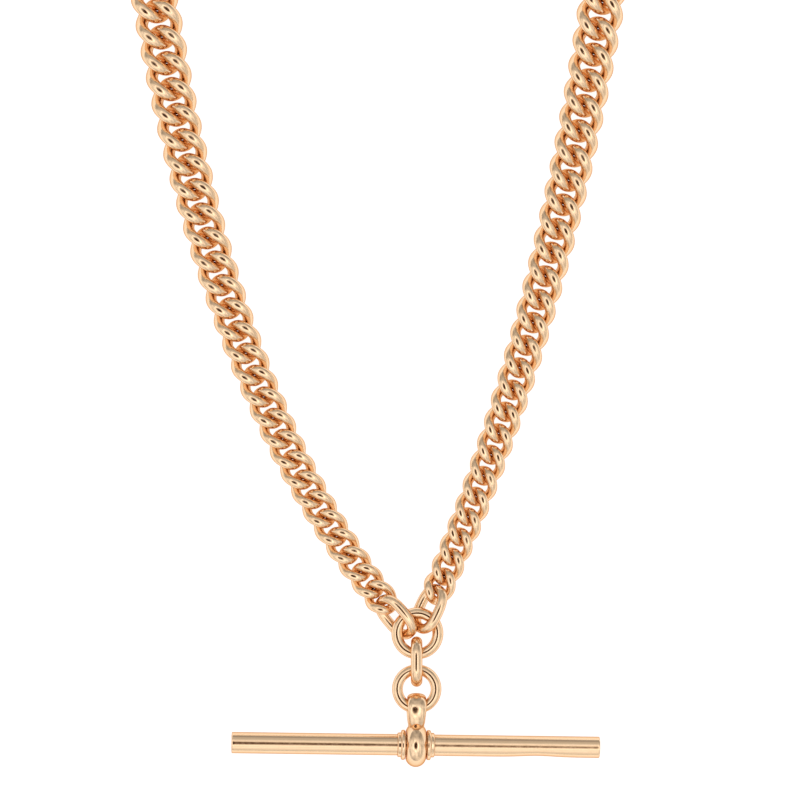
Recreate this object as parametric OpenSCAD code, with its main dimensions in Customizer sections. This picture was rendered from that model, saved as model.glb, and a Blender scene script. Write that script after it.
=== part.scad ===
// Double Albert pocket watch chain: a T-bar on a short drop, two graduated curb-link arms,
// and a sprung swivel clip on the far end of each arm. It lies flat: +Y runs up the chain
// from the T-bar, +Z points up from the table it lies on. All sizes are in millimetres.

/* [T-bar] */
// Length of the bar over its closed ends
bar_length = 36.8; // [34:0.1:40]
// Outer diameter of the bar's tube
bar_d = 2.12; // [2:0.01:2.16]
// Bore of the bar's tube
bar_bore_d = 1.5; // [1:0.1:1.6]
// Slope of the bar across the picture plane, right end low
bar_slope = 0.95; // [0:0.05:2]
// Tip of the bar on its bead, right end resting on the table
bar_tip = 3.5; // [0:0.1:3.5]
// Diameter of the swivelling bead at its crown
bead_d = 4.4; // [4.3:0.05:4.5]
// Width of the bead along the bar
bead_w = 2; // [1.8:0.1:2]
// Diameter of each collar's rim
rim_d = 3; // [2.8:0.1:3.1]
// Diameter of each collar's outer step
step_d = 2.45; // [2.3:0.05:2.6]

/* [Drop] */
// Outer diameter of the ring in the bead's eye
lower_ring_d = 4.93; // [4.8:0.01:5.1]
// Wire of that ring
lower_ring_wire = 1.07; // [1:0.01:1.07]
// Overall length of the drop link
drop_length = 5.03; // [4.9:0.01:5.2]
// Overall width of the drop link
drop_width = 3.85; // [3.8:0.01:3.9]
// Wire of the drop link
drop_wire = 1.15; // [1.1:0.01:1.15]
// Outer diameter of the junction ring that carries both arms
junction_d = 5.19; // [5.1:0.01:5.3]
// Wire of the junction ring
junction_wire = 1.11; // [1.08:0.01:1.11]

/* [Graduated arms] */
// Links in the left arm
left_links = 29; // [29]
// Links in the right arm
right_links = 28; // [28]
// Single-link nodes at the foot of each arm; the rest go in pairs
left_singles = 13; // [13]
// Single-link nodes at the foot of the right arm
right_singles = 12; // [12]
// Spacing of the smallest links, at the foot of an arm
pitch_foot = 2.08; // [2.06:0.01:2.1]
// Growth of the spacing from one link to the next
pitch_step = 0.022; // [0.021:0.001:0.023]
// Wire of the smallest link
wire_foot = 0.9; // [0.88:0.01:0.92]
// Growth of the wire from one link to the next
wire_step = 0.0125; // [0.0115:0.0005:0.013]
// Width of the smallest link
width_foot = 3.14; // [3.1:0.01:3.18]
// Growth of the width from one link to the next
width_step = 0.059; // [0.058:0.001:0.061]
// Overall length of the plain oval link that hooks the junction ring
hook_link_length = 5.2; // [5.15:0.05:5.3]
// Overall width of that link
hook_link_width = 3.94; // [3.92:0.01:3.94]
// Wire of that link
hook_link_wire = 1; // [0.98:0.01:1]

/* [Swivel clips] */
// Diameter of the clip's barrel
barrel_d = 4.2; // [4:0.1:4.3]
// Length of the clip's barrel
barrel_length = 3.4; // [3.2:0.1:3.6]
// Wire of the hook
hook_wire = 1.9; // [1.7:0.1:2]
// Distance between the hook's two legs, centre to centre
hook_span = 6.2; // [6.2:0.1:6.6]
// Height of the hook's straight legs above the barrel
hook_rise = 7.6; // [7:0.1:8]

/* [Hidden] */
$fn = 48;
play = 0.03;
running_gap = 0.04;
// How far a link turns each way about the chain's own line, in degrees, and how evenly
twist = 47;
even_twist = 0.3;
// Below 1 the outline of a link is a little squarer than an ellipse
outline_power = 0.95;
// The first link of an arm is not twisted: it stands rolled over on its edge
hook_roll = 51;
hook_z = 1.64;
hook_slack = 0.22;
// The frame's origin is under the middle of the whole chain, on the table
frame_x = 3.77;
frame_y = -47.98;
// The bead's centre, which the drop and the arms are laid out from
bead_x = -0.1;
bar_z = bead_d / 2;

// Bead and its eye, in the bar's own frame: X along the bar, Y towards the arms
crown_r = 1.05;
eye_top = 5.19;
eye_under = 4.22;
eye_side = 4.53;
eye_half_w = 0.92;
eye_saddle_r = 1.3;
eye_bend_r = 1.14;
eye_foot_w = 1.6;
// Collars: each has a stub in its tube, and the left one carries the bead on its journal
collar_gap = 0.06;
rim_w = 0.42;
step_w = 0.36;
stub_w = 1.16;
journal_d = 2;
plug_depth = 1.2;
tube_start = bead_w / 2 + collar_gap + rim_w + step_w;

// Drop, worked out upwards from the eye
lower_r = (lower_ring_d - lower_ring_wire) / 2;
lower_tilt = 3.3;
lower_y = eye_under - play + (lower_ring_d / 2 - lower_ring_wire);
lower_z = bar_z - lower_r * sin(lower_tilt);
lower_x = bead_x + lower_y * sin(bar_slope);
drop_half_l = (drop_length - drop_wire) / 2;
drop_half_w = (drop_width - drop_wire) / 2;
drop_x = -0.02;
drop_foot_y = lower_y + lower_r * cos(lower_tilt) - (lower_ring_wire + drop_wire) / 2 - play;
drop_y = drop_foot_y + drop_half_l;
drop_z = 1.93;
junction_r = (junction_d - junction_wire) / 2;
junction_tilt = 4.5;
junction_x = 0.06;
junction_foot_y = drop_y + drop_half_l - (drop_wire + junction_wire) / 2 - play;
junction_y = junction_foot_y + junction_r * cos(junction_tilt);
junction_z = 1.9 - junction_r * sin(junction_tilt);

// Where each arm sits round the junction ring, and how it leans away from +Y: the lean
// starts at lean_foot and falls by up to lean_drop as the links go by
LEFT = -1;
RIGHT = 1;
function seat_angle(side) = side == LEFT ? 146.5 : 64;
function lean_foot(side) = side == LEFT ? 40.25 : 24.6;
function lean_drop(side) = side == LEFT ? 45.8 : 37.8;
function lean_links(side) = side == LEFT ? 24.7 : 50.1;
function link_count(side) = side == LEFT ? left_links : right_links;
function lean(side, i) = lean_foot(side) - lean_drop(side) * (1 - exp(-i / lean_links(side)));
function heading(side, i) = [side * sin(lean(side, i)), cos(lean(side, i)), 0];

// Sizes of link i, counted from 0 at the junction ring
function wire(i) = i == 0 ? hook_link_wire : wire_foot + wire_step * i;
function half_length(i) = (i == 0 ? hook_link_length - wire(0) : pitch_foot + pitch_step * i + wire(i) + play) / 2;
function half_width(i) = ((i == 0 ? hook_link_width : width_foot + width_step * i) - wire(i)) / 2;
// Distance along a link between the two points where its neighbours bear on it
function bearing_span(i) = 2 * half_length(i) - wire(i) - play - (i == 0 ? hook_slack : 0);

// A link's centreline: an oval with round ends, turned by -twist to +twist end to end.
// The turn is slow near the ends, so that each end lies nearly flat in its own plane.
function oval_x(i, t) = half_width(i) * sign(sin(t)) * pow(abs(sin(t)), outline_power);
function oval_y(i, t) = half_width(i) * cos(t) + (half_length(i) - half_width(i)) * sin(90 * cos(t));
function turned(i, t) =
    let (u = oval_y(i, t) / half_length(i))
    twist * (even_twist * u + (1 - even_twist) * sin(90 * u));
function link_path(i, t) = let (w = oval_x(i, t), q = turned(i, t)) [w * cos(q), oval_y(i, t), w * sin(q)];
function unit(v) = v / norm(v);
// Height of a link's centre when it lies on the table
function lie_z(i) = wire(i) / 2 + max([for (t = [0:5:90]) link_path(i, t).z]);

// Points where the neighbours bear on the links, from the junction ring outwards
function seat(side) =
    let (a = seat_angle(side), r = junction_r)
    [junction_x + r * cos(a), junction_y + r * sin(a) * cos(junction_tilt), 0];
function first_bearing(side) = seat(side) - ((junction_wire + play) / 2 + hook_slack) * heading(side, 0);
// Height of the bearing below link j: the arm comes down to the table from the hook link
function flat_z(j) = (lie_z(max(j - 1, 1)) + lie_z(j)) / 2;
function bearing_z(j) = j < 2 ? hook_z : flat_z(j) + (hook_z - lie_z(1)) * exp(1 - j);
function fall(i) = bearing_z(i) - bearing_z(i + 1);
function link_pitch(i) = asin(fall(i) / bearing_span(i));
function bearings(side) =
    [for (
        i = 0, p = first_bearing(side);
        i <= link_count(side);
        p = p + sqrt(pow(bearing_span(i), 2) - pow(fall(i), 2)) * heading(side, i), i = i + 1
    ) p];
function link_centre(side, i) =
    (bearings(side)[i] + bearings(side)[i + 1]) / 2 + [0, 0, (bearing_z(i) + bearing_z(i + 1)) / 2];

// The end ring rises from the last link to the clip, whose axis is parallel to Y
end_ring_r = 1.75;
end_ring_wire = 0.9;
end_ring_roll = 30;
clip_z = 2.15;
function last_bearing(side) =
    let (n = link_count(side)) bearings(side)[n] + [0, 0, bearing_z(n)];
end_rise_l = 2 * end_ring_r - end_ring_wire - play;
function end_pitch(side) = asin((clip_z - last_bearing(side).z) / end_rise_l);
function end_heading(side) = [0, cos(end_pitch(side)), sin(end_pitch(side))];
function end_ring_centre(side) = last_bearing(side) + end_rise_l / 2 * end_heading(side);
function clip_bearing(side) = last_bearing(side) + end_rise_l * end_heading(side);

// Swivel clip, in its own frame: Y along the clip from the barrel's foot, hook in XY
clip_eye_r = 1.75;
clip_eye_wire = 0.85;
clip_eye_y = -2.55;
clip_slack = 0.08;
post_d = 1.2;
post_gap = 0.05;
head_d = 2.3;
head_y = 1.4;
head_h = 0.8;
head_gap = 0.1;
yoke_y = 4;
leg_x = hook_span / 2;
bend_y = yoke_y + hook_rise - 0.6;
tip_y = bend_y - 1.1;
ear_gap = 0.55;
ear_t = 0.55;
gate_d = 1.5;
gate_eye_t = 1;
gate_top_gap = 0.15;
pin_d = 0.68;
pin_gap = 0.03;
slot_x = 1.9;
spring_t = 0.14;
spring_l = 1.5;
function clip_foot(side) =
    clip_bearing(side) + [0, clip_eye_r - (clip_eye_wire + play) / 2 - clip_eye_y - clip_slack, 0];

function two_digits(n) = n < 10 ? str("0", n) : str(n);
function side_name(side) = side == LEFT ? "left" : "right";
function singles(side) = side == LEFT ? left_singles : right_singles;
function node_count(side) = (singles(side) + link_count(side)) / 2;
// The k-th link node of an arm, from 1, starts with this link and holds one or two
function node_start(side, k) = k <= singles(side) ? k - 1 : 2 * k - singles(side) - 2;
function node_size(side, k) = k <= singles(side) ? 1 : 2;
function link_node(side, k) =
    let (a = node_start(side, k) + 1)
    str(side_name(side), node_size(side, k) == 1 ? "_link_" : "_links_", two_digits(a),
        node_size(side, k) == 1 ? "" : str("_", two_digits(a + 1)));

DROP_NODES = ["bar_tube", "bar_end_plugs", "bar_collars", "swivel_bead", "lower_ring", "drop_link", "junction_ring"];
CLIP_PIECES = ["end_ring", "swivel_eye", "swivel_hook", "swivel_gate", "gate_pin", "gate_spring"];

ROSE_GOLD = [0.91, 0.66, 0.47];
PALE_GOLD = [0.95, 0.74, 0.54];
SPRING_STEEL = [0.62, 0.62, 0.64];

// Swept tube of a link: stations round the oval, each an octagon of the wire's diameter
stations = 18;
sides = 8;

module chain_link(i) {
    station_step = 360 / stations;
    side_step = 360 / sides;
    half_step = 1;
    rings = [for (k = [0:stations - 1])
        let (
            t = k * station_step,
            q = turned(i, t),
            run = unit(link_path(i, t + half_step) - link_path(i, t - half_step)),
            out = unit(cross(run, [-sin(q), 0, cos(q)])),
            up = cross(run, out)
        )
        for (s = [0:sides - 1])
            link_path(i, t) + wire(i) / 2 * (cos(s * side_step) * out + sin(s * side_step) * up)];
    faces = [for (k = [0:stations - 1], s = [0:sides - 1])
        let (
            a = k * sides + s,
            b = k * sides + (s + 1) % sides,
            c = ((k + 1) % stations) * sides + (s + 1) % sides,
            d = ((k + 1) % stations) * sides + s
        )
        each [[a, b, c], [a, c, d]]];
    polyhedron(rings, faces);
}

// Plain oval of round wire, lying in the XY plane
module oval_link(half_l, half_w, wire_d) {
    straight = half_l - half_w;
    for (end = [0, 180]) rotate(end) translate([0, straight, 0]) half_ring(half_w, wire_d);
    for (side = [-1, 1]) translate([side * half_w, -straight, 0]) rotate([-90, 0, 0])
        cylinder(d = wire_d, h = 2 * straight);
}

module placed_link(side, i) {
    translate(link_centre(side, i)) rotate([-link_pitch(i), 0, -side * lean(side, i)])
        if (i == 0) {
            rotate([0, -hook_roll, 0]) oval_link(half_length(0), half_width(0), wire(0));
        } else {
            chain_link(i);
        }
}

module links(side, k) {
    first = node_start(side, k);
    color(k % 2 == 0 ? ROSE_GOLD : PALE_GOLD)
        for (i = [first:first + node_size(side, k) - 1]) placed_link(side, i);
}

module ring(r, wire_d) {
    rotate_extrude() translate([r, 0]) circle(d = wire_d);
}

module half_ring(r, wire_d) {
    rotate_extrude(angle = 180) translate([r, 0]) circle(d = wire_d);
}

module in_bar_frame() {
    translate([bead_x, 0, bar_z]) rotate([0, 0, -bar_slope]) rotate([0, bar_tip, 0]) children();
}

module along_x(at = 0) {
    translate([at, 0, 0]) rotate([0, 90, 0]) children();
}

// Two lengths of tube, one each side of the collars
module bar_tube() {
    color(ROSE_GOLD) in_bar_frame() for (end = [0, 180]) rotate([0, end, 0]) difference() {
        along_x(tube_start) cylinder(d = bar_d, h = bar_length / 2 - tube_start);
        along_x(tube_start - 1) cylinder(d = bar_bore_d, h = bar_length / 2);
    }
}

// Discs with a short spigot, soldered into the open ends of the tube
module bar_end_plugs() {
    color(PALE_GOLD) in_bar_frame() for (end = [-1, 1])
        along_x(end * (bar_length - plug_depth) / 2 - plug_depth / 2) cylinder(d = bar_bore_d, h = plug_depth);
}

// Rim, step and stub of one collar, from the bead outwards
module collar() {
    along_x(bead_w / 2 + collar_gap) {
        cylinder(d = rim_d, h = rim_w);
        cylinder(d = step_d, h = rim_w + step_w);
        cylinder(d = bar_bore_d, h = rim_w + step_w + stub_w);
    }
}

// The left collar is turned in one piece with the journal that the bead runs on
module bar_collars() {
    reach = bead_w / 2 + collar_gap;
    color(PALE_GOLD) in_bar_frame() {
        rotate([0, 180, 0]) collar();
        along_x(-reach - 0.2) cylinder(d = journal_d, h = 2 * reach + 0.2);
    }
    color(PALE_GOLD) in_bar_frame() collar();
}

// Cross-section of the eye: a domed outside, and a saddle that suits the ring's inside
module eye_section() {
    dome = eye_top - eye_side;
    reach = sqrt(pow(eye_saddle_r, 2) - pow(eye_saddle_r - eye_side + eye_under, 2));
    half_arc = asin(reach / eye_saddle_r);
    base = eye_side - eye_under;
    polygon(concat(
        [for (a = [0:15:180]) [base + dome * sin(a), eye_half_w * cos(a)]],
        [for (a = [-1:0.25:1]) [eye_saddle_r * (1 - cos(a * half_arc)), eye_saddle_r * sin(a * half_arc)]]
    ));
}

// Bead that turns on the bar, with a strap eye across the bar to carry the lower ring
module swivel_bead() {
    bend_y = eye_under - eye_bend_r + (eye_side - eye_under) + 0.2;
    inner_r = eye_under - bend_y;
    leg_foot = 1.2;
    color(ROSE_GOLD) in_bar_frame() difference() {
        union() {
            rotate([0, 90, 0]) rotate_extrude() intersection() {
                translate([bead_d / 2 - crown_r, 0]) circle(r = crown_r);
                translate([0, -bead_w / 2]) square([bead_d, bead_w]);
            }
            rotate([0, 90, 0]) rotate_extrude()
                translate([0, -bead_w / 2]) square([bead_d / 2 - crown_r, bead_w]);
            translate([0, bend_y, 0]) rotate([0, -90, 0]) rotate_extrude(angle = 180)
                translate([inner_r, 0]) eye_section();
            for (leg = [0, 180]) rotate([0, leg, 0]) translate([0, leg_foot, -inner_r])
                rotate([-90, 0, 0]) linear_extrude(bend_y - leg_foot)
                    rotate(90) eye_section();
            translate([-eye_foot_w / 2, leg_foot, -inner_r - 0.4])
                cube([eye_foot_w, 1.5, 2 * inner_r + 0.8]);
        }
        along_x(-bead_w) cylinder(d = journal_d + 2 * running_gap, h = 2 * bead_w);
    }
}

module lower_ring() {
    color(PALE_GOLD) translate([lower_x, lower_y, lower_z]) rotate([-lower_tilt, 0, 0])
        ring(lower_r, lower_ring_wire);
}

// Oval link seen edge-on: it stands across the rings it joins
module drop_link() {
    color(ROSE_GOLD) translate([drop_x, drop_y, drop_z]) rotate([0, 90, 0])
        oval_link(drop_half_l, drop_half_w, drop_wire);
}

module junction_ring() {
    color(PALE_GOLD) translate([junction_x, junction_y, junction_z]) rotate([-junction_tilt, 0, 0])
        ring(junction_r, junction_wire);
}

module end_ring(side) {
    color(PALE_GOLD) translate(end_ring_centre(side)) rotate([end_pitch(side), 0, 0])
        rotate([0, end_ring_roll, 0]) ring(end_ring_r, end_ring_wire);
}

module in_clip_frame(side) {
    translate(clip_foot(side)) children();
}

module along_y(at = 0) {
    translate([0, at, 0]) rotate([-90, 0, 0]) children();
}

// Eye, collar, post and riveted head in one piece: the hook turns on the post
module swivel_eye(side) {
    color(PALE_GOLD) in_clip_frame(side) {
        translate([0, clip_eye_y, 0]) rotate([0, 90, 0]) ring(clip_eye_r, clip_eye_wire);
        along_y(clip_eye_y + clip_eye_r) cylinder(d = post_d, h = head_y - clip_eye_y - clip_eye_r);
        along_y(-0.4) cylinder(d = 1.9, h = 0.3);
        along_y(head_y) cylinder(d = head_d, h = head_h);
    }
}

module barrel() {
    bulge_r = 1.85;
    along_y() rotate_extrude() {
        intersection() {
            translate([barrel_d / 2 - bulge_r, barrel_length / 2]) circle(r = bulge_r);
            square([barrel_d, barrel_length]);
        }
        square([barrel_d / 2 - bulge_r, barrel_length]);
    }
}

// Barrel, yoke, back leg and bend in one piece, bored for the post and slotted for the gate
module swivel_hook(side) {
    bend_r = leg_x;
    color(ROSE_GOLD) in_clip_frame(side) difference() {
        union() {
            barrel();
            translate([-leg_x, yoke_y, 0]) sphere(d = hook_wire);
            translate([-leg_x, yoke_y, 0]) rotate([0, 90, 0]) cylinder(d = hook_wire, h = leg_x + slot_x);
            translate([-leg_x, yoke_y, 0]) rotate([-90, 0, 0]) cylinder(d = hook_wire, h = bend_y - yoke_y);
            translate([0, bend_y, 0]) half_ring(bend_r, hook_wire);
            translate([leg_x, tip_y, 0]) rotate([-90, 0, 0]) cylinder(d = hook_wire, h = bend_y - tip_y);
            for (face = [0, 1]) mirror([0, 0, face]) translate([0, 0, ear_gap]) {
                translate([leg_x, yoke_y, 0]) cylinder(d = hook_wire, h = ear_t);
                translate([1, yoke_y - hook_wire / 2, 0]) cube([leg_x - 1, hook_wire, ear_t]);
            }
        }
        along_y(-1) cylinder(d = post_d + 2 * post_gap, h = 1 + head_y);
        along_y(head_y - head_gap) cylinder(d = head_d + 2 * head_gap, h = head_h + 2 * head_gap);
        translate([leg_x, yoke_y, -2]) cylinder(d = pin_d, h = 4);
    }
}

// Thumb gate: a round bar from the pivot up to the hook's tip
module swivel_gate(side) {
    color(PALE_GOLD) in_clip_frame(side) translate([leg_x, yoke_y, 0]) difference() {
        union() {
            translate([0, 0, -gate_eye_t / 2]) cylinder(d = hook_wire, h = gate_eye_t);
            along_y(0.6) cylinder(d = gate_eye_t, h = 1);
            along_y(1.4) cylinder(d = gate_d, h = tip_y - yoke_y - 1.4 - gate_top_gap);
        }
        translate([0, 0, -2]) cylinder(d = pin_d + 2 * pin_gap, h = 4);
    }
}

module gate_pin(side) {
    color(ROSE_GOLD) in_clip_frame(side) translate([leg_x, yoke_y, -ear_gap - ear_t])
        cylinder(d = pin_d, h = 2 * (ear_gap + ear_t));
}

// Leaf that bears on the gate's heel, held in the slot between the ears
module gate_spring(side) {
    color(SPRING_STEEL) in_clip_frame(side) translate([slot_x, yoke_y - spring_l / 2, -0.45])
        cube([spring_t, spring_l, 0.9]);
}

module clip_piece(side, piece) {
    if (piece == "end_ring") end_ring(side);
    if (piece == "swivel_eye") swivel_eye(side);
    if (piece == "swivel_hook") swivel_hook(side);
    if (piece == "swivel_gate") swivel_gate(side);
    if (piece == "gate_pin") gate_pin(side);
    if (piece == "gate_spring") gate_spring(side);
}

module in_frame() {
    translate([frame_x, frame_y, 0]) children();
}

in_frame() bar_tube();
in_frame() bar_end_plugs();
in_frame() bar_collars();
in_frame() swivel_bead();
in_frame() lower_ring();
in_frame() drop_link();
in_frame() junction_ring();
for (side = [LEFT, RIGHT], k = [1:node_count(side)])
    in_frame() links(side, k);
for (side = [LEFT, RIGHT], piece = CLIP_PIECES)
    in_frame() clip_piece(side, piece);
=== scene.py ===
import math

import bpy
import numpy as np
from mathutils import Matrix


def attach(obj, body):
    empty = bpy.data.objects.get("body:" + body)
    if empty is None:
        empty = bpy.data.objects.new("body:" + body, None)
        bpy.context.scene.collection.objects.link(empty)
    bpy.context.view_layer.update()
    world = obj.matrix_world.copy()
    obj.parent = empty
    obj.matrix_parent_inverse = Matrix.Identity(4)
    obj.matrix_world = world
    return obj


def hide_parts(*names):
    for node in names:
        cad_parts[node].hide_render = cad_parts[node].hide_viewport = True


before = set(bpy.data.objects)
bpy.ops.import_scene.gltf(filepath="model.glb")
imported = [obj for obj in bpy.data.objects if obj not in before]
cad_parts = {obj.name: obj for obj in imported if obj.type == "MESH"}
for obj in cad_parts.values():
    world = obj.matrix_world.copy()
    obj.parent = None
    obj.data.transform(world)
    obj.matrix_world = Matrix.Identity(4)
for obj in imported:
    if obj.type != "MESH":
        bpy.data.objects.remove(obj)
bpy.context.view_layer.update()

MM = 0.001


def sin(a):
    return math.sin(math.radians(a))


def cos(a):
    return math.cos(math.radians(a))


def rot_x(a):
    return np.array([[1, 0, 0], [0, cos(a), -sin(a)], [0, sin(a), cos(a)]])


def rot_y(a):
    return np.array([[cos(a), 0, sin(a)], [0, 1, 0], [-sin(a), 0, cos(a)]])


def rot_z(a):
    return np.array([[cos(a), -sin(a), 0], [sin(a), cos(a), 0], [0, 0, 1]])


# ---------------------------------------------------------------- layout, as in the CAD, in mm
FRAME = np.array([3.77, -47.98, 0.0])
PLAY = 0.03
BEAD_X, BAR_Z = -0.1, 2.2
BAR_LENGTH, BAR_D, BAR_SLOPE, BAR_TIP = 36.8, 2.12, 0.95, 3.5
LOWER_RING_D, LOWER_WIRE = 4.93, 1.07
DROP_L, DROP_W, DROP_WIRE = 5.03, 3.85, 1.15
JUNCTION_D, JUNCTION_WIRE = 5.19, 1.11
EYE_UNDER = 4.22
LOWER_R = (LOWER_RING_D - LOWER_WIRE) / 2
LOWER_TILT = 3.3
LOWER_Y = EYE_UNDER - PLAY + LOWER_RING_D / 2 - LOWER_WIRE
LOWER = np.array([BEAD_X + LOWER_Y * sin(BAR_SLOPE), LOWER_Y, BAR_Z - LOWER_R * sin(LOWER_TILT)])
DROP_HL, DROP_HW = (DROP_L - DROP_WIRE) / 2, (DROP_W - DROP_WIRE) / 2
DROP_FOOT = LOWER_Y + LOWER_R * cos(LOWER_TILT) - (LOWER_WIRE + DROP_WIRE) / 2 - PLAY
DROP_X, DROP_Z = -0.02, 1.93
DROP = np.array([DROP_X, DROP_FOOT + DROP_HL, DROP_Z])
JUNCTION_R, JUNCTION_TILT = (JUNCTION_D - JUNCTION_WIRE) / 2, 4.5
JUNCTION_FOOT = DROP[1] + DROP_HL - (DROP_WIRE + JUNCTION_WIRE) / 2 - PLAY
JUNCTION_X, JUNCTION_Z = 0.06, 1.9
JUNCTION = np.array([
    JUNCTION_X,
    JUNCTION_FOOT + JUNCTION_R * cos(JUNCTION_TILT),
    JUNCTION_Z - JUNCTION_R * sin(JUNCTION_TILT)])
BAR_TURN = rot_z(-BAR_SLOPE) @ rot_y(BAR_TIP)
BEAD = np.array([BEAD_X, 0, BAR_Z])

LEFT, RIGHT = -1, 1
SIDE = {LEFT: "left", RIGHT: "right"}
LINKS = {LEFT: 29, RIGHT: 28}
SINGLES = {LEFT: 13, RIGHT: 12}
SEAT = {LEFT: 146.5, RIGHT: 64}
LEAN = {LEFT: (40.25, 45.8, 24.7), RIGHT: (24.6, 37.8, 50.1)}
HOOK_LENGTH, HOOK_WIDTH, HOOK_WIRE = 5.2, 3.94, 1.0
HOOK_ROLL, HOOK_Z, HOOK_SLACK = 51, 1.64, 0.22

# A curb link's pitch, wire and width: the size that link 0 would have, and the growth per link
PITCH, PITCH_STEP = 2.08, 0.022
WIRE, WIRE_STEP = 0.9, 0.0125
WIDTH, WIDTH_STEP = 3.14, 0.059
TWIST, EVEN_TWIST, OUTLINE_POWER = 47, 0.3, 0.95


def lean(side, i):
    """How far link i leans outwards, in degrees."""
    foot, drop, n = LEAN[side]
    return foot - drop * (1 - math.exp(-i / n))


def heading(side, i):
    return np.array([side * sin(lean(side, i)), cos(lean(side, i)), 0])


def wire(i):
    return HOOK_WIRE if i == 0 else WIRE + WIRE_STEP * i


def half_length(i):
    return (HOOK_LENGTH - HOOK_WIRE if i == 0 else PITCH + PITCH_STEP * i + wire(i) + PLAY) / 2


def half_width(i):
    return (HOOK_WIDTH if i == 0 else WIDTH + WIDTH_STEP * i) / 2 - wire(i) / 2


def span(i):
    """Distance between link i's two bearings."""
    return 2 * half_length(i) - wire(i) - PLAY - (HOOK_SLACK if i == 0 else 0)


def turn_at(i, along):
    """Twist of link i's plane at a distance along it from its middle, in degrees."""
    u = along / half_length(i)
    return TWIST * (EVEN_TWIST * u + (1 - EVEN_TWIST) * sin(90 * u))


def oval(i, t):
    """A point of link i's centreline, t degrees round, and the link plane's turn there."""
    a, b = half_length(i), half_width(i)
    along = b * cos(t) + (a - b) * sin(90 * cos(t))
    across = b * math.copysign(abs(sin(t)) ** OUTLINE_POWER, sin(t))
    q = turn_at(i, along)
    return np.array([across * cos(q), along, across * sin(q)]), q


def lie(i):
    """Height of link i's middle when it lies on the table."""
    return wire(i) / 2 + max(oval(i, t)[0][2] for t in range(0, 91, 5))


def bearing_z(j):
    """Height of the bearing below link j: the arm comes down from its hook link."""
    if j < 2:
        return HOOK_Z
    return (lie(j - 1) + lie(j)) / 2 + (HOOK_Z - lie(1)) * math.exp(1 - j)


def link_places(side):
    """Each link's centre and turn, from the junction ring outwards."""
    seat = np.array([
        JUNCTION[0] + JUNCTION_R * cos(SEAT[side]),
        JUNCTION[1] + JUNCTION_R * sin(SEAT[side]) * cos(JUNCTION_TILT), 0])
    p = seat - ((JUNCTION_WIRE + PLAY) / 2 + HOOK_SLACK) * heading(side, 0)
    places = []
    for i in range(LINKS[side]):
        top, low = bearing_z(i), bearing_z(i + 1)
        step = math.sqrt(span(i) ** 2 - (top - low) ** 2) * heading(side, i)
        pitch = math.degrees(math.asin((top - low) / span(i)))
        centre = p + step / 2 + np.array([0, 0, (top + low) / 2])
        places.append((centre, rot_z(-side * lean(side, i)) @ rot_x(-pitch)))
        p = p + step
    return places


def link_nodes(side):
    """Node name to the links in it, counted from 0."""
    nodes, i = {}, 0
    while i < LINKS[side]:
        if i < SINGLES[side]:
            nodes[f"{SIDE[side]}_link_{i + 1:02d}"] = [i]
            i += 1
        else:
            nodes[f"{SIDE[side]}_links_{i + 1:02d}_{i + 2:02d}"] = [i, i + 1]
            i += 2
    return nodes


# ---------------------------------------------------------------- mesh helpers, in mm
def make(name, verts, faces, material, body, *nodes):
    mesh = bpy.data.meshes.new(name)
    mesh.from_pydata([tuple(v) for v in (np.asarray(verts) + FRAME) * MM], [], [tuple(f) for f in faces])
    mesh.validate()
    mesh.shade_smooth()
    mesh.materials.append(material)
    piece = bpy.data.objects.new(name, mesh)
    bpy.context.scene.collection.objects.link(piece)
    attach(piece, body)
    if nodes:
        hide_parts(*nodes)
    return piece


def join(parts):
    """One mesh from a list of (verts, faces)."""
    faces, start = [], 0
    for v, f in parts:
        faces += [[x + start for x in face] for face in f]
        start += len(v)
    return np.concatenate([v for v, f in parts]), faces


def grid_faces(rows, cols, wrap_rows=True):
    """Faces of a grid whose columns wrap; its rows wrap too if asked."""
    last = rows if wrap_rows else rows - 1
    r, c = np.meshgrid(np.arange(last), np.arange(cols), indexing="ij")
    r2, c2 = (r + 1) % rows, (c + 1) % cols
    quads = np.stack([r * cols + c, r * cols + c2, r2 * cols + c2, r2 * cols + c], -1)
    return quads.reshape(-1, 4).tolist()


def tube(points, outs, ups, radii, sides):
    """Verts and faces of a closed loop of wire: a ring of sides verts at each point."""
    a = np.linspace(0, 2 * np.pi, sides, endpoint=False)
    verts = (points[:, None] + radii[:, None, None] * (
        outs[:, None] * np.cos(a)[None, :, None] + ups[:, None] * np.sin(a)[None, :, None]))
    return verts.reshape(-1, 3), grid_faces(len(points), sides)


def torus(centre, turn, r, wire_d, stations=120, sides=32, thin=()):
    """A wire ring; thin lists (angle, spread, share) where its wire is worn."""
    t = np.linspace(0, 360, stations, endpoint=False)
    radial = np.stack([np.cos(np.radians(t)), np.sin(np.radians(t)), 0 * t], -1)
    radii = np.full(stations, wire_d / 2)
    for angle, spread, share in thin:
        gap = (t - angle + 180) % 360 - 180
        radii *= 1 - share * np.exp(-(gap / spread) ** 2)
    verts, faces = tube(radial * r, radial, np.tile([0, 0, 1.0], (stations, 1)), radii, sides)
    return verts @ np.asarray(turn).T + centre, faces


def plain_oval(half_l, half_w, wire_d, turn, stations=160, sides=32):
    """A flat oval link of round wire, long in Y, turned about its centre."""
    straight = half_l - half_w
    half_round = np.pi * half_w + 2 * straight
    points, radial = [], []
    for k in range(stations):
        d = (k + 0.5) / stations * 2 * half_round
        end, d = (1, d) if d < half_round else (-1, d - half_round)
        a = min(d / half_w, np.pi)
        past = max(d - np.pi * half_w, 0)
        radial.append((end * math.cos(a), end * math.sin(a), 0))
        points.append((end * half_w * math.cos(a), end * (straight + half_w * math.sin(a) - past), 0))
    radial = np.array(radial)
    ups = np.tile([0, 0, 1.0], (stations, 1))
    verts, faces = tube(np.array(points), radial, ups, np.full(stations, wire_d / 2), sides)
    return verts @ np.asarray(turn).T, faces


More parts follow.
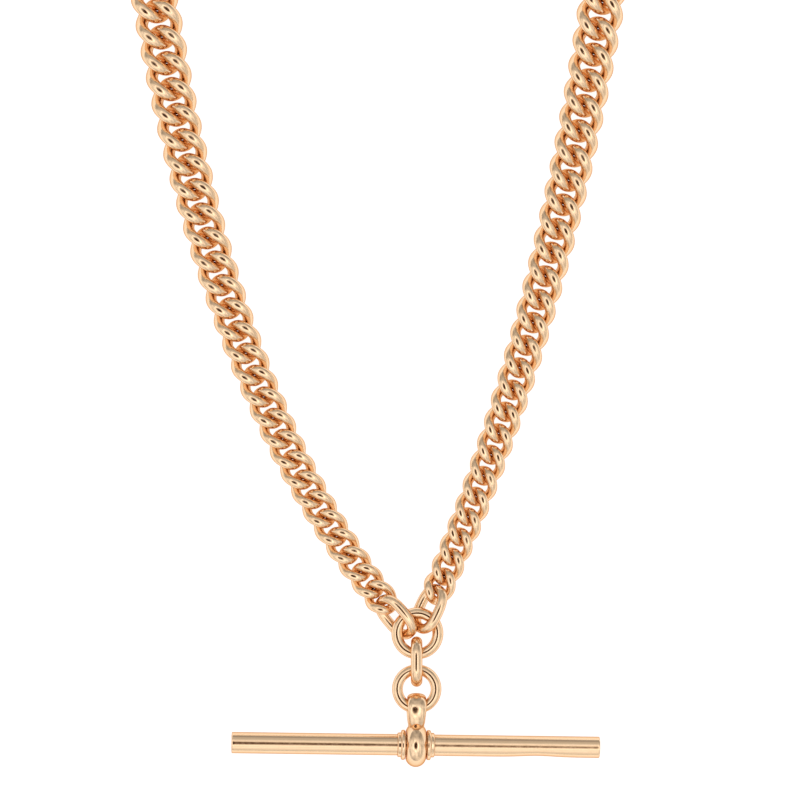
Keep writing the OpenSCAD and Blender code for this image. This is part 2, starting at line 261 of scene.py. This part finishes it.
def bowed_link(half_l, half_w, wire_d, turn, stations=160, sides=32):
    """A hook link: an oval with bowed long sides, whose wire is a little stouter there."""
    bow, stout = 2.0 / 2.5, 0.03
    off_axis = 1e-4
    t = np.linspace(0, 2 * np.pi, stations, endpoint=False) + off_axis
    x = np.sign(np.cos(t)) * np.abs(np.cos(t)) ** bow * half_w
    y = np.sign(np.sin(t)) * np.abs(np.sin(t)) ** bow * half_l
    points = np.stack([x, y, 0 * t], -1)
    run = np.roll(points, -1, 0) - np.roll(points, 1, 0)
    run /= np.linalg.norm(run, axis=1)[:, None]
    ups = np.tile([0, 0, 1.0], (stations, 1))
    radii = wire_d / 2 * (1 + stout * np.cos(t) ** 2)
    verts, faces = tube(points, np.cross(run, ups), ups, radii, sides)
    return verts @ np.asarray(turn).T, faces


def lathe(profile, sides=96):
    """Verts and faces turned about X from (x, radius) points, open at both ends."""
    profile = np.asarray(profile, float)
    a = np.linspace(0, 2 * np.pi, sides, endpoint=False)
    verts = np.stack([
        np.repeat(profile[:, 0], sides),
        (profile[:, 1:2] * np.cos(a)).ravel(), (profile[:, 1:2] * np.sin(a)).ravel()], -1)
    return verts, grid_faces(len(profile), sides, wrap_rows=False)


# ---------------------------------------------------------------- materials
# Noise scales are per metre, so 900 is a patch of about 1.1 mm
TONE_SCALE, POLISH_SCALE, BUMP_SCALE = 900, 1600, 620
BUMP_HEIGHT = 0.00006
DARKENING, DARKENING_RGB = 0.08, (0.6, 1.0, 1.6)
GOLD_EDGE = (0.66, 0.36, 0.20)


def noise(nodes, links, where, scale, detail, roughness):
    x = nodes.new("ShaderNodeTexNoise")
    x.inputs["Scale"].default_value = scale
    x.inputs["Detail"].default_value = detail
    x.inputs["Roughness"].default_value = roughness
    links.new(where, x.inputs["Vector"])
    return x.outputs["Fac"]


def map_range(nodes, from_min, from_max, to_min, to_max):
    x = nodes.new("ShaderNodeMapRange")
    x.inputs["From Min"].default_value = from_min
    x.inputs["From Max"].default_value = from_max
    x.inputs["To Min"].default_value = to_min
    x.inputs["To Max"].default_value = to_max
    return x


def metal(name, colour, rough, wear, bump, edge=GOLD_EDGE):
    """A metal with slightly uneven tone, polish and surface; wear raises the first two."""
    m = bpy.data.materials.new(name)
    m.use_nodes = True
    n, l = m.node_tree.nodes, m.node_tree.links
    bsdf = n["Principled BSDF"]
    bsdf.inputs["Metallic"].default_value = 1
    bsdf.inputs["Specular Tint"].default_value = (*edge, 1)
    where = n.new("ShaderNodeTexCoord").outputs["Object"]
    tone = n.new("ShaderNodeValToRGB")
    darker, lighter = tone.color_ramp.elements
    darker.position = 0.3
    lighter.position = 0.7
    darker.color = (*[c * (1 - DARKENING * wear * k) for c, k in zip(colour, DARKENING_RGB)], 1)
    lighter.color = (*colour, 1)
    l.new(noise(n, l, where, TONE_SCALE, 3, 0.5), tone.inputs["Fac"])
    l.new(tone.outputs["Color"], bsdf.inputs["Base Color"])
    polish = map_range(n, 0.35, 0.7, rough * 0.7, rough * (1 + wear))
    l.new(noise(n, l, where, POLISH_SCALE, 4, 0.6), polish.inputs["Value"])
    l.new(polish.outputs["Result"], bsdf.inputs["Roughness"])
    b = n.new("ShaderNodeBump")
    b.inputs["Strength"].default_value = bump
    b.inputs["Distance"].default_value = BUMP_HEIGHT
    l.new(noise(n, l, where, BUMP_SCALE, 4, 0.45), b.inputs["Height"])
    l.new(b.outputs["Normal"], bsdf.inputs["Normal"])
    return m


GOLD = (0.93, 0.665, 0.43)
gold_links = metal("rose_gold_links", GOLD, 0.16, 0.6, 0.3)
gold_rings = metal("rose_gold_rings", GOLD, 0.15, 0.5, 0.3)
gold_bar = metal("rose_gold_bar", GOLD, 0.13, 0.5, 0.16)
steel = metal("spring_steel", (0.55, 0.55, 0.57), 0.25, 0.3, 0.05, edge=(1, 1, 1))

# ---------------------------------------------------------------- links
STATIONS, SIDES = 96, 32
# Rubbing starts at WEAR_START of a link's height and takes WEAR / 2 of what stands above that
WEAR_START, WEAR = 0.76, 0.35


def worn(verts, top):
    """Rub the highest part of each strand a little flatter, above and below."""
    start = WEAR_START * top
    past = np.maximum(np.abs(verts[:, 2]) - start, 0)
    flatter = past**2 * WEAR / (2 * (top - start))
    verts[:, 2] -= np.sign(verts[:, 2]) * flatter
    return verts


def link_mesh(i):
    t = np.linspace(0, 360, STATIONS, endpoint=False)
    points, outs, ups = [], [], []
    for k in t:
        p, q = oval(i, k)
        run = oval(i, k + 0.5)[0] - oval(i, k - 0.5)[0]
        run /= np.linalg.norm(run)
        out = np.cross(run, [-sin(q), 0, cos(q)])
        out /= np.linalg.norm(out)
        points.append(p)
        outs.append(out)
        ups.append(np.cross(run, out))
    radii = np.full(STATIONS, wire(i) / 2)
    verts, faces = tube(np.array(points), np.array(outs), np.array(ups), radii, SIDES)
    return worn(verts, lie(i)), faces


for side in (LEFT, RIGHT):
    places = link_places(side)
    for node, members in link_nodes(side).items():
        parts = []
        for i in members:
            if i == 0:
                v, f = bowed_link(half_length(0), half_width(0), HOOK_WIRE, rot_y(-HOOK_ROLL))
            else:
                v, f = link_mesh(i)
            centre, turn = places[i]
            parts.append((v @ turn.T + centre, f))
        verts, faces = join(parts)
        make(node + "_look", verts, faces, gold_links, node, node)

# ---------------------------------------------------------------- rings and drop link
# Where the next piece has worn a ring's wire: angle round it, spread and share of the wire
WORN_TOP, WORN_FOOT = (90, 25, 0.04), (270, 25, 0.04)
v, f = torus(LOWER, rot_x(-LOWER_TILT), LOWER_R, LOWER_WIRE, thin=[WORN_TOP, WORN_FOOT])
make("lower_ring_look", v, f, gold_rings, "lower_ring", "lower_ring")
v, f = torus(JUNCTION, rot_x(-JUNCTION_TILT), JUNCTION_R, JUNCTION_WIRE, thin=[WORN_FOOT])
make("junction_ring_look", v, f, gold_rings, "junction_ring", "junction_ring")

v, f = plain_oval(DROP_HL, DROP_HW, DROP_WIRE, rot_y(90))
make("drop_link_look", v + DROP, f, gold_rings, "drop_link", "drop_link")

# ---------------------------------------------------------------- T-bar, as (x, radius) profiles
HALF_BAR = BAR_LENGTH / 2
BAR_INNER, JOURNAL_R = 1.8, 1.0
DENT_X, DENT_SPREAD, DENT_DEPTH = 12.2, 2.2, 0.13
bar_end = [
    (-HALF_BAR + 0.05, 0.001), (-HALF_BAR + 0.05, 0.72), (-HALF_BAR + 0.03, 0.75), (-HALF_BAR, 0.78),
    (-HALF_BAR, 0.99), (-HALF_BAR + 0.02, 1.03), (-HALF_BAR + 0.06, 1.055)]
bar_side = [(x, BAR_D / 2) for x in np.linspace(-HALF_BAR + 0.12, -BAR_INNER, 180)]
v, f = lathe(bar_end + bar_side + [(-BAR_INNER, JOURNAL_R)])
v, f = join([(v, f), (v * (-1, 1, -1), f)])
# A shallow dent in the right half, on the side away from the chain
dent = np.exp(-((v[:, 0] - DENT_X) / DENT_SPREAD) ** 2) * np.clip(-v[:, 1] / (BAR_D / 2), 0, 1) ** 2
v[:, 1] += DENT_DEPTH * dent
make("bar_look", v @ BAR_TURN.T + BEAD, f, gold_bar, "t_bar", "bar_tube", "bar_end_plugs")

# The journal that the bead turns on, and a rim and step each side of it
JOURNAL_END = 1.2
collar = [
    (1.06, 1.04), (1.06, 1.36), (1.10, 1.46), (1.18, 1.5), (1.36, 1.5), (1.44, 1.46), (1.48, 1.38),
    (1.485, 1.26), (1.50, 1.235), (1.56, 1.225), (1.74, 1.225), (1.80, 1.2), (1.84, 1.15), (1.845, 1.04)]
parts = [lathe([(-JOURNAL_END, JOURNAL_R), (JOURNAL_END, JOURNAL_R)])]
for end_side in (-1, 1):
    parts.append(lathe([(x * end_side, r) for x, r in collar]))
v, f = join(parts)
make("collars_look", v @ BAR_TURN.T + BEAD, f, gold_bar, "t_bar", "bar_collars")

# Bead: a barrel with flat ends and a bore that clears the journal
BEAD_R, CROWN, BORE, BEVEL = 2.2, 1.05, 1.04, 0.04
arc = [(x, BEAD_R - CROWN + math.sqrt(max(CROWN**2 - x * x, 0))) for x in np.linspace(-1, 1, 41)]
left_edge = [(-0.96, BORE), (-1.0, BORE + BEVEL)]
right_edge = [(1.0, BORE + BEVEL), (0.96, BORE)]
barrel = lathe(left_edge + arc + right_edge + [(-0.96, BORE)], 128)

# Its strap eye: a band bent in the plane square to the bar, pinched towards its root in the bead
ROOT_Y, BEND_Y, BEND_R, PINCH, LEG_STEPS = 1.5, 3.59, 1.115, 0.95, 14
ROOT_HALF_W, TOP_HALF_W, HALF_THICK = 0.76, 0.94, 0.485
WIDENS_FROM, WIDENS_OVER = 1.8, 2.4
GROOVE_Y, GROOVE_SPREAD, GROOVE_DEPTH = 2.05, 0.06, 0.05
STRAP_SIDES, STRAP_POWER = 40, 0.9
leg = [(ROOT_Y + (BEND_Y - ROOT_Y) * k / LEG_STEPS, -BEND_R + PINCH * (1 - k / LEG_STEPS) ** 2)
       for k in range(LEG_STEPS)]
bend = [(BEND_Y + BEND_R * math.sin(a), -BEND_R * math.cos(a)) for a in np.linspace(0, math.pi, 41)]
path = np.array([(0, y, z) for y, z in leg + bend + [(y, -z) for y, z in leg[::-1]]])
run = np.gradient(path, axis=0)
run /= np.linalg.norm(run, axis=1)[:, None]
up = np.cross(run, [1.0, 0, 0])
a = np.linspace(0, 2 * np.pi, STRAP_SIDES, endpoint=False)
rise = np.clip((path[:, 1] - WIDENS_FROM) / WIDENS_OVER, 0, 1)
half_w = ROOT_HALF_W + (TOP_HALF_W - ROOT_HALF_W) * np.sin(rise * np.pi / 2)
groove = 1 - GROOVE_DEPTH * np.exp(-((path[:, 1] - GROOVE_Y) / GROOVE_SPREAD) ** 2)
ring_x = np.sign(np.cos(a)) * np.abs(np.cos(a)) ** STRAP_POWER
ring_y = np.sign(np.sin(a)) * np.abs(np.sin(a)) ** STRAP_POWER
strap = (path[:, None] + (half_w * groove)[:, None, None] * ring_x[None, :, None] * np.array([1.0, 0, 0])
         + (HALF_THICK * groove)[:, None, None] * ring_y[None, :, None] * up[:, None])
v, f = join([barrel, (strap.reshape(-1, 3), grid_faces(len(path), STRAP_SIDES, wrap_rows=False))])
make("bead_look", v @ BAR_TURN.T + BEAD, f, gold_bar, "bead", "swivel_bead")

# ---------------------------------------------------------------- swivel clips keep their CAD shapes
for name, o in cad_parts.items():
    if not o.hide_render:
        o.data.materials.clear()
        o.data.materials.append(steel if "spring" in name else gold_rings)

# ---------------------------------------------------------------- floor, light and camera
bpy.context.scene.view_settings.view_transform = "Standard"
floor_mesh = bpy.data.meshes.new("floor")
REACH = 3
corners = [(-REACH, -REACH, 0), (REACH, -REACH, 0), (REACH, REACH, 0), (-REACH, REACH, 0)]
floor_mesh.from_pydata(corners, [], [(0, 1, 2, 3)])
floor = bpy.data.objects.new("floor", floor_mesh)
bpy.context.scene.collection.objects.link(floor)
floor_paint = bpy.data.materials.new("floor_white")
floor_paint.use_nodes = True
paint = floor_paint.node_tree.nodes["Principled BSDF"]
paint.inputs["Base Color"].default_value = (0.25, 0.25, 0.25, 1)
paint.inputs["Roughness"].default_value = 0.7
paint.inputs["Emission Color"].default_value = (1, 1, 1, 1)
paint.inputs["Emission Strength"].default_value = 0.9
floor_mesh.materials.append(floor_paint)

# The tent: white all round, with the dark opening that the camera looks through overhead.
# Its tones go by the cosine of the angle from the opening: 0 is square to it and beyond.
OPENING_LEFT = 7
SQUARE_ON, OPENING = (0.75, 0.75, 0.75), (0.05, 0.024, 0.013)
TENT = [
    (0.25, (0.7, 0.7, 0.7)), (0.55, (0.9, 0.9, 0.9)), (0.8, (1.15, 1.15, 1.15)), (0.9, (1.6, 1.6, 1.6)),
    (0.94, (1.0, 0.93, 0.86)), (0.966, (0.09, 0.045, 0.026))]
world = bpy.data.worlds.new("tent")
bpy.context.scene.world = world
world.use_nodes = True
wn, wl = world.node_tree.nodes, world.node_tree.links
back = wn["Background"]
direction = wn.new("ShaderNodeTexCoord").outputs["Generated"]
split = wn.new("ShaderNodeSeparateXYZ")
wl.new(direction, split.inputs["Vector"])
ramp = wn.new("ShaderNodeValToRGB")
ramp.color_ramp.elements[0].position = 0.0
ramp.color_ramp.elements[0].color = (*SQUARE_ON, 1)
ramp.color_ramp.elements[1].position = 1.0
ramp.color_ramp.elements[1].color = (*OPENING, 1)
for at, tone in TENT:
    ramp.color_ramp.elements.new(at).color = (*tone, 1)
# Folds in the tent make its light a little uneven, and its far side is dimmer
folds = noise(wn, wl, direction, 2.6, 2, 0.5)
uneven = map_range(wn, 0.3, 0.7, 0.6, 1.35)
wl.new(folds, uneven.inputs["Value"])
far = map_range(wn, 0.25, 0.7, 1.0, 0.62)
wl.new(split.outputs["Y"], far.inputs["Value"])
level = wn.new("ShaderNodeMath")
level.operation = "MULTIPLY"
wl.new(uneven.outputs["Result"], level.inputs[0])
wl.new(far.outputs["Result"], level.inputs[1])
# The opening is a little to the left of straight overhead
overhead = wn.new("ShaderNodeVectorMath")
overhead.operation = "DOT_PRODUCT"
overhead.inputs[1].default_value = (-sin(OPENING_LEFT), 0, cos(OPENING_LEFT))
wl.new(direction, overhead.inputs[0])
wl.new(overhead.outputs["Value"], ramp.inputs["Fac"])
wl.new(ramp.outputs["Color"], back.inputs["Color"])
wl.new(level.outputs["Value"], back.inputs["Strength"])

camera_data = bpy.data.cameras.new("camera")
camera = bpy.data.objects.new("camera", camera_data)
bpy.context.scene.collection.objects.link(camera)
bpy.context.scene.camera = camera
DISTANCE, FIELD, SENSOR = 0.6, 0.08, 36
AIM_X, AIM_Y, AIM_Z = -1.68, 34.45, 1.4
camera_data.sensor_width = SENSOR
camera_data.lens = SENSOR * DISTANCE / FIELD
camera_data.clip_start, camera_data.clip_end = 0.01, 20
camera.location = ((AIM_X + FRAME[0]) * MM, (AIM_Y + FRAME[1]) * MM, DISTANCE + AIM_Z * MM)

bpy.context.view_layer.update()
